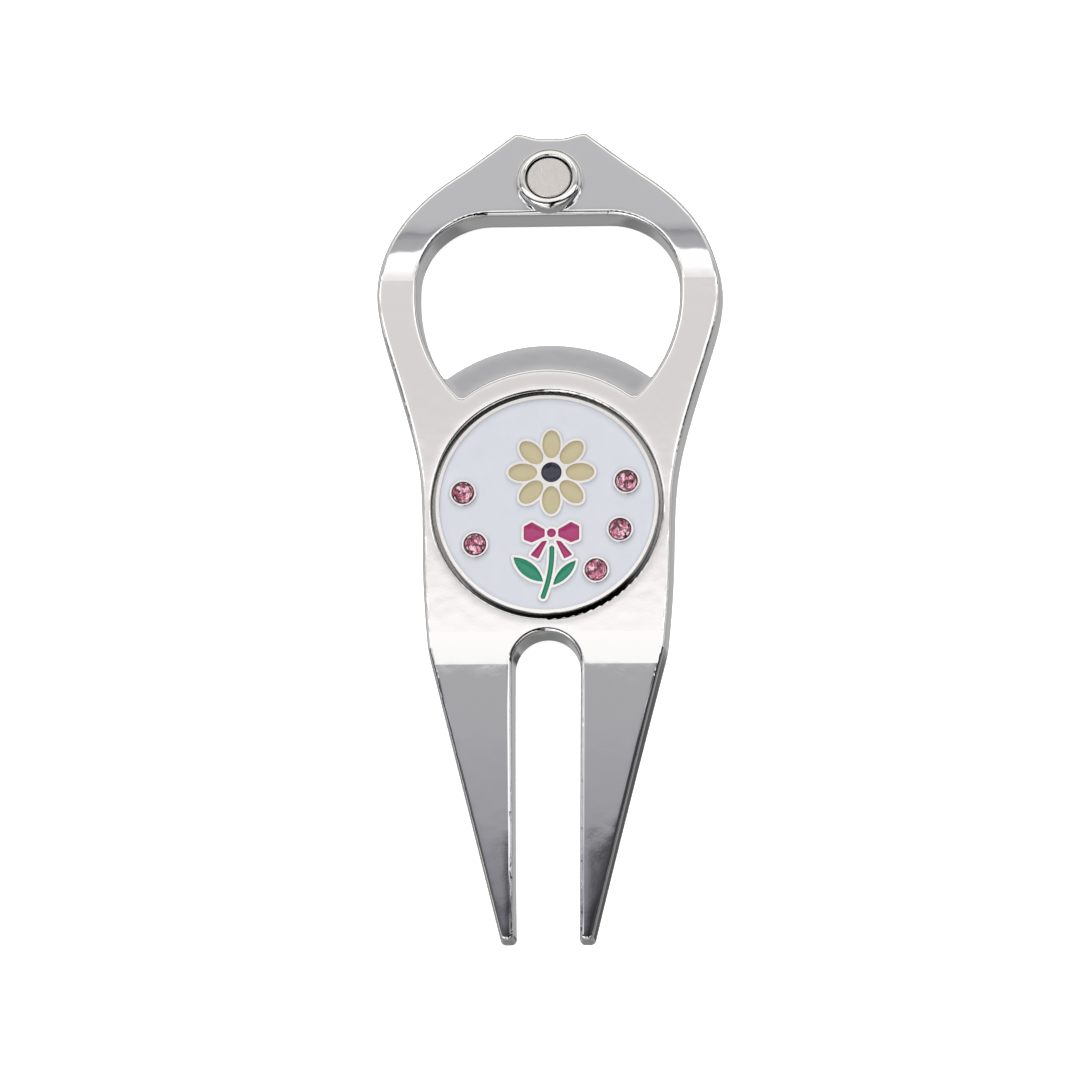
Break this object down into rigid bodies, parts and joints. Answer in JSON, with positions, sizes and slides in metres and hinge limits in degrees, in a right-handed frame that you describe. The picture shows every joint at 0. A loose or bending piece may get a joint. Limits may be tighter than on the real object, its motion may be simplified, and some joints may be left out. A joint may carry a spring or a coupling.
{
  "type": "divot repair tool",
  "caption": "Two-pronged golf divot repair tool with a bottle-opener head, a cap magnet and a magnetic enamel ball marker.",
  "frame": {"origin": "centre of the outline, on the surface that the tool lies on", "axes": "+Z out of the show side with the ball marker, +Y towards the opener head, +X across the width"},
  "size_m": [0.0392, 0.0928, 0.0077],
  "materials": {
    "plated_zinc": "bright nickel plate on die-cast zinc",
    "plated_steel": "nickel-plated struck steel",
    "magnet_nickel": "satin nickel plate",
    "clear_glue": "cured clear adhesive",
    "enamel_white": "soft enamel, gloss",
    "enamel_beige": "soft enamel, gloss",
    "enamel_black": "soft enamel, gloss",
    "enamel_magenta": "soft enamel, gloss",
    "enamel_green": "soft enamel, gloss",
    "pink_crystal": "faceted foil-backed crystal"
  },
  "bodies": {
    "tool": {"cap_magnet": "magnet_nickel", "cap_magnet_glue": "clear_glue", "marker_magnet": "magnet_nickel", "marker_magnet_glue": "clear_glue", "tool_body": "plated_zinc"},
    "ball_marker": {"enamel_bow_knot": "enamel_magenta", "enamel_bow_loop_left": "enamel_magenta", "enamel_bow_loop_right": "enamel_magenta", "enamel_bow_tail_left": "enamel_magenta", "enamel_bow_tail_right": "enamel_magenta", "enamel_field": "enamel_white", "enamel_flower_centre": "enamel_black", "enamel_leaf_left": "enamel_green", "enamel_leaf_right": "enamel_green", "enamel_petal_1": "enamel_beige", "enamel_petal_2": "enamel_beige", "enamel_petal_3": "enamel_beige", "enamel_petal_4": "enamel_beige", "enamel_petal_5": "enamel_beige", "enamel_petal_6": "enamel_beige", "enamel_petal_7": "enamel_beige", "enamel_petal_8": "enamel_beige", "enamel_stem": "enamel_green", "marker_coin": "plated_steel", "stone_1": "pink_crystal", "stone_1_glue": "clear_glue", "stone_2": "pink_crystal", "stone_2_glue": "clear_glue", "stone_3": "pink_crystal", "stone_3_glue": "clear_glue", "stone_4": "pink_crystal", "stone_4_glue": "clear_glue", "stone_5": "pink_crystal", "stone_5_glue": "clear_glue"}
  },
  "joints": [
    {"name": "marker_lift", "type": "slide", "parent": "tool", "child": "ball_marker", "axis": [0, 0, 1], "range_m": [0, 0.015]}
  ]
}
